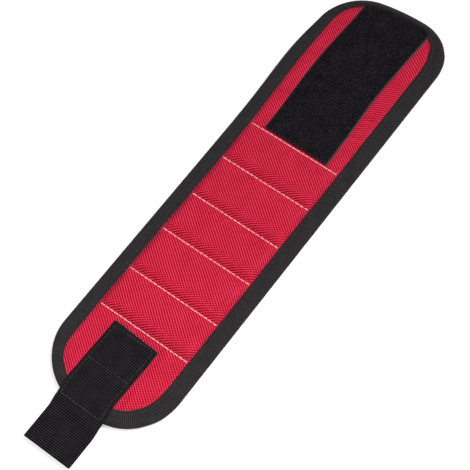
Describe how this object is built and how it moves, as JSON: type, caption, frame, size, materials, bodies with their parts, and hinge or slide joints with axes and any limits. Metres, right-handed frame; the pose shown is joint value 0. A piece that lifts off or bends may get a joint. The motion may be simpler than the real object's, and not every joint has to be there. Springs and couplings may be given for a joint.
{
  "type": "magnetic wristband",
  "caption": "Flat quilted wristband with magnets in sewn pockets, a bound edge, a webbing strap with hook tape at one end and a loop patch at the other, for holding screws on the wrist.",
  "frame": {"origin": "middle of the overall length and width, on the underside that lies on the wrist", "axes": "+X along the band towards the loop end, +Y across it to its left, +Z out of the red face"},
  "size_m": [0.386, 0.092, 0.006],
  "materials": {
    "red_nylon": "woven ballistic nylon, satin",
    "lining_mesh": "spacer mesh, matt",
    "binding_tape": "ribbed grosgrain tape",
    "webbing": "ribbed webbing",
    "loop_pile": "fuzzy loop pile",
    "hook_tape": "moulded hooks",
    "magnet_block": "bare ferrite, matt",
    "seam_thread": "twisted thread"
  },
  "bodies": {
    "pocket_3": {"pocket_3_panel": "red_nylon", "pocket_3_lining": "lining_mesh", "pocket_3_binding_left": "binding_tape", "pocket_3_binding_right": "binding_tape", "pocket_3_magnet_1": "magnet_block", "pocket_3_magnet_2": "magnet_block", "seam_3_thread": "seam_thread"},
    "pocket_2": {"pocket_2_panel": "red_nylon", "pocket_2_lining": "lining_mesh", "pocket_2_binding_left": "binding_tape", "pocket_2_binding_right": "binding_tape", "pocket_2_magnet_1": "magnet_block", "pocket_2_magnet_2": "magnet_block", "seam_2_thread": "seam_thread"},
    "pocket_1": {"pocket_1_panel": "red_nylon", "pocket_1_lining": "lining_mesh", "pocket_1_binding_left": "binding_tape", "pocket_1_binding_right": "binding_tape", "pocket_1_magnet_1": "magnet_block", "pocket_1_magnet_2": "magnet_block", "seam_1_thread": "seam_thread"},
    "strap_end": {"strap_end_panel": "red_nylon", "strap_end_lining": "lining_mesh", "strap_end_binding": "binding_tape", "strap_anchor": "webbing"},
    "strap_flap": {"strap_tab": "webbing", "hook_tape": "hook_tape"},
    "pocket_4": {"pocket_4_panel": "red_nylon", "pocket_4_lining": "lining_mesh", "pocket_4_binding_left": "binding_tape", "pocket_4_binding_right": "binding_tape", "pocket_4_magnet_1": "magnet_block", "pocket_4_magnet_2": "magnet_block", "seam_4_thread": "seam_thread"},
    "pocket_5": {"pocket_5_panel": "red_nylon", "pocket_5_lining": "lining_mesh", "pocket_5_binding_left": "binding_tape", "pocket_5_binding_right": "binding_tape", "pocket_5_magnet_1": "magnet_block", "pocket_5_magnet_2": "magnet_block", "seam_5_thread": "seam_thread", "seam_6_thread": "seam_thread"},
    "loop_end_1": {"loop_end_1_panel": "red_nylon", "loop_end_1_lining": "lining_mesh", "loop_end_1_binding_left": "binding_tape", "loop_end_1_binding_right": "binding_tape", "loop_end_1_loop": "loop_pile"},
    "loop_end_2": {"loop_end_2_panel": "red_nylon", "loop_end_2_lining": "lining_mesh", "loop_end_2_binding_left": "binding_tape", "loop_end_2_binding_right": "binding_tape", "loop_end_2_loop": "loop_pile"},
    "loop_end_3": {"loop_end_3_panel": "red_nylon", "loop_end_3_lining": "lining_mesh", "loop_end_3_binding": "binding_tape", "loop_end_3_loop": "loop_pile"}
  },
  "joints": [
    {"name": "seam_3_fold", "type": "hinge", "parent": "pocket_3", "child": "pocket_2", "pos_m": [-0.0345, 0, 0.00215], "axis": [0, -1, 0], "range_deg": [-25, 38]},
    {"name": "seam_2_fold", "type": "hinge", "parent": "pocket_2", "child": "pocket_1", "pos_m": [-0.0685, 0, 0.00215], "axis": [0, -1, 0], "range_deg": [-25, 39]},
    {"name": "seam_1_fold", "type": "hinge", "parent": "pocket_1", "child": "strap_end", "pos_m": [-0.0985, 0, 0.00215], "axis": [0, -1, 0], "range_deg": [-25, 46]},
    {"name": "strap_fold", "type": "hinge", "parent": "strap_end", "child": "strap_flap", "pos_m": [-0.161, 0, 0.0053], "axis": [0, -1, 0], "range_deg": [-100, 63]},
    {"name": "seam_4_fold", "type": "hinge", "parent": "pocket_3", "child": "pocket_4", "pos_m": [-0.0035, 0, 0.00215], "axis": [0, 1, 0], "range_deg": [-25, 38]},
    {"name": "seam_5_fold", "type": "hinge", "parent": "pocket_4", "child": "pocket_5", "pos_m": [0.0295, 0, 0.00215], "axis": [0, 1, 0], "range_deg": [-25, 38.5]},
    {"name": "seam_6_fold", "type": "hinge", "parent": "pocket_5", "child": "loop_end_1", "pos_m": [0.0615, 0, 0.00215], "axis": [0, 1, 0], "range_deg": [-25, 39]},
    {"name": "loop_bend_1", "type": "hinge", "parent": "loop_end_1", "child": "loop_end_2", "pos_m": [0.1035, 0, 0.00215], "axis": [0, 1, 0], "range_deg": [-25, 58]},
    {"name": "loop_bend_2", "type": "hinge", "parent": "loop_end_2", "child": "loop_end_3", "pos_m": [0.1475, 0, 0.00215], "axis": [0, 1, 0], "range_deg": [-25, 64]}
  ]
}
